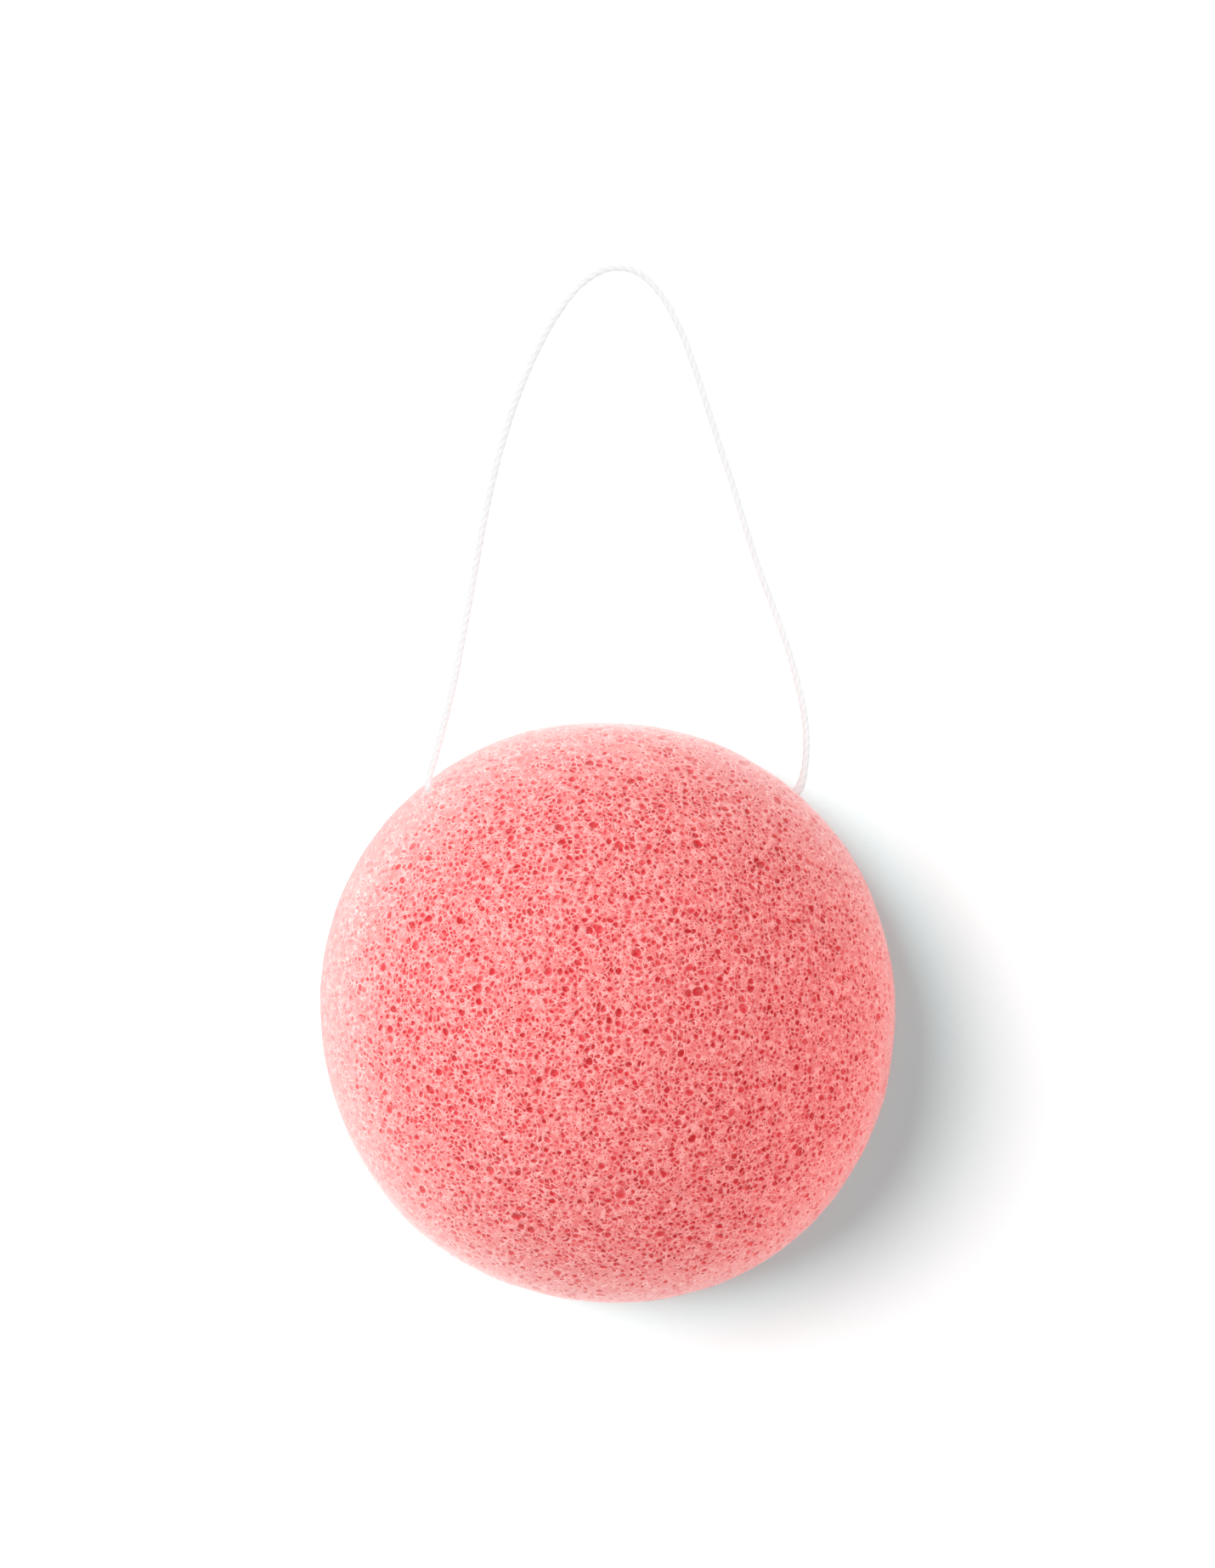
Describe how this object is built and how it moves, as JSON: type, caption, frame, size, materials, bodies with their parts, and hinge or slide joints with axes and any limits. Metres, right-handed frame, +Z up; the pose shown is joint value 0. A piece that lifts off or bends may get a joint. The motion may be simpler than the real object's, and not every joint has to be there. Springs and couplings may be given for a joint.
{
  "type": "konjac sponge",
  "caption": "Half-ball face sponge of open-pored plant fibre with a flat base, and a thin thread loop through its edge to hang it up to dry.",
  "frame": {"origin": "centre of the sponge's flat base, on the surface that it rests on", "axes": "+Z up through the crown; +Y from the sponge's centre towards the hanging loop, +X to the right when seen from above with the loop away from the viewer"},
  "size_m": [0.08, 0.1436, 0.04],
  "materials": {
    "konjac_foam": "soft open-pored plant-fibre foam, matt, pale coral pink ridges over deeper red pores",
    "cotton_thread": "twisted white cotton, matt with fine fuzz"
  },
  "bodies": {
    "sponge": {"sponge_body": "konjac_foam", "inner_thread": "cotton_thread", "loop_knot": "cotton_thread"},
    "loop": {"hanging_loop": "cotton_thread"}
  },
  "joints": [
    {"name": "loop_swing", "type": "hinge", "parent": "sponge", "child": "loop", "pos_m": [-0.02408, 0.0302, 0.016], "axis": [0.9825, 0, -0.1863], "range_deg": [0, 90]}
  ]
}
